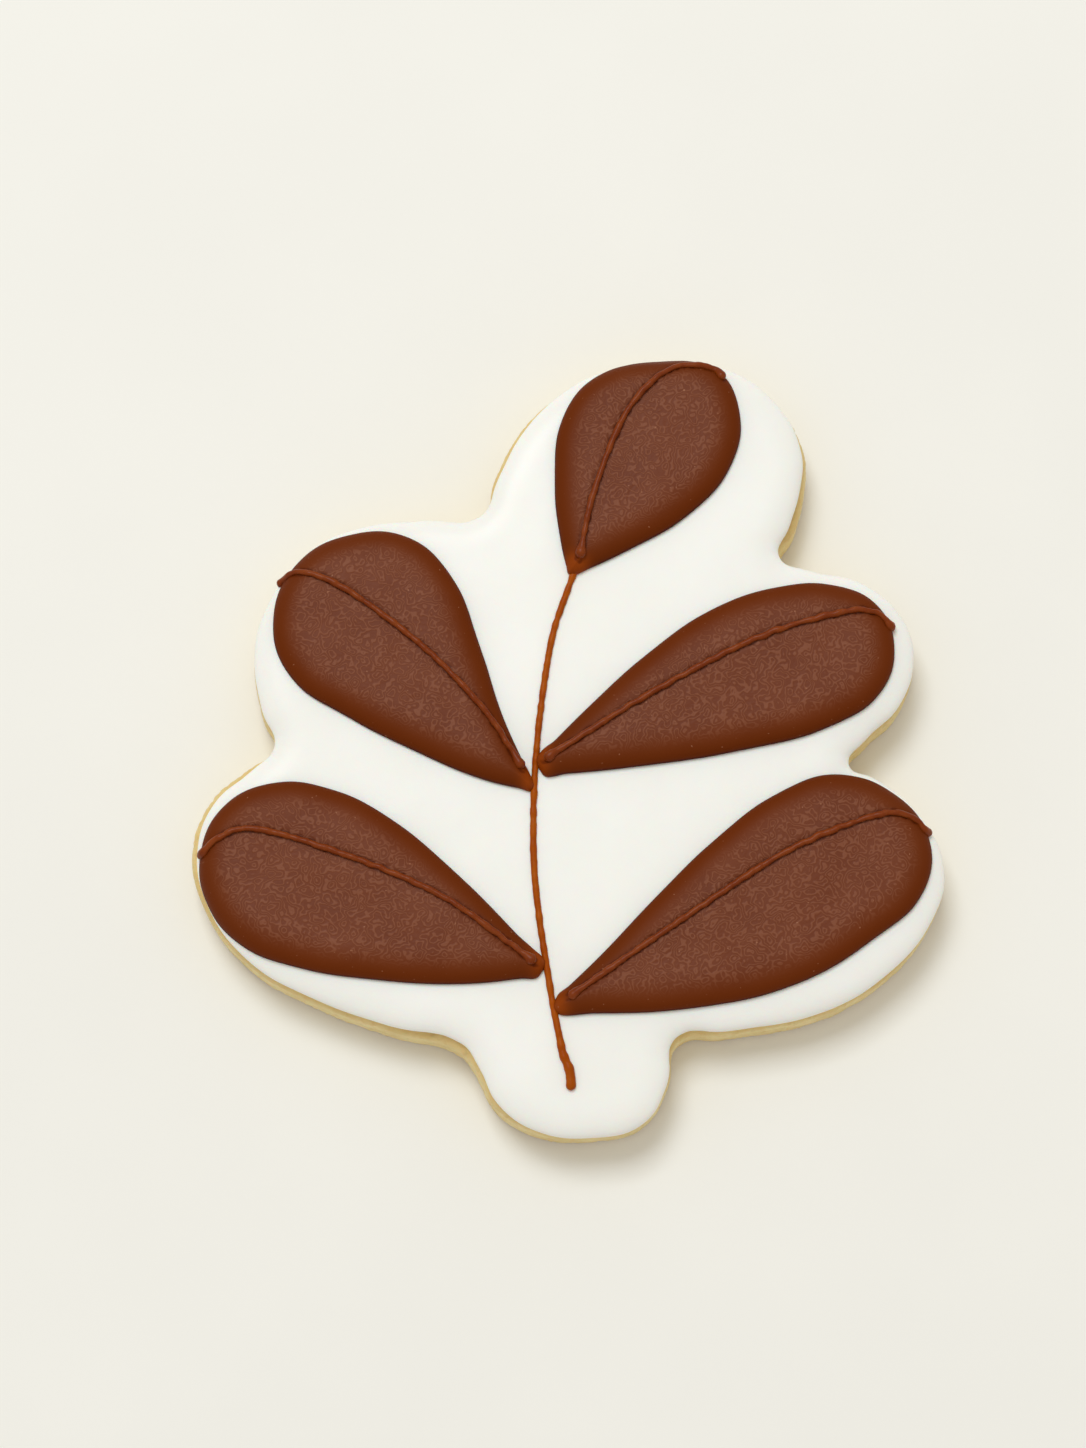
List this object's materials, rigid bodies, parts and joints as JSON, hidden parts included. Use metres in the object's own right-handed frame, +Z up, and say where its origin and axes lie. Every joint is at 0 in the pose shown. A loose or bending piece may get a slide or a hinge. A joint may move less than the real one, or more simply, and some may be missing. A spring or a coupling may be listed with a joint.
{
  "type": "iced sugar cookie",
  "caption": "Sugar cookie cut as a leafy sprig, flooded with white icing under puffed brown icing leaves, piped midribs and a piped stem; a flat sweet to serve, give or eat.",
  "frame": {"origin": "middle of the cookie's outline on the surface it rests on", "axes": "+Z up through the icing, +Y towards the tip of the top leaf, +X to the right of the sprig seen from above"},
  "size_m": [0.0957, 0.1006, 0.0132],
  "materials": {
    "baked_dough": "pale gold baked dough with a fine crumb, a little browner along its edges and underneath",
    "white_icing": "smooth satin white royal icing",
    "leaf_icing": "chocolate brown royal icing, satin, with a finely wrinkled skin",
    "midrib_icing": "reddish brown piped icing, satin",
    "stem_icing": "orange brown piped icing, satin"
  },
  "bodies": {
    "root": {"cookie": "baked_dough", "white_icing": "white_icing", "leaf_top": "leaf_icing", "leaf_upper_left": "leaf_icing", "leaf_upper_right": "leaf_icing", "leaf_lower_left": "leaf_icing", "leaf_lower_right": "leaf_icing", "midrib_top": "midrib_icing", "midrib_upper_left": "midrib_icing", "midrib_upper_right": "midrib_icing", "midrib_lower_left": "midrib_icing", "midrib_lower_right": "midrib_icing", "stem": "stem_icing"}
  },
  "joints": []
}
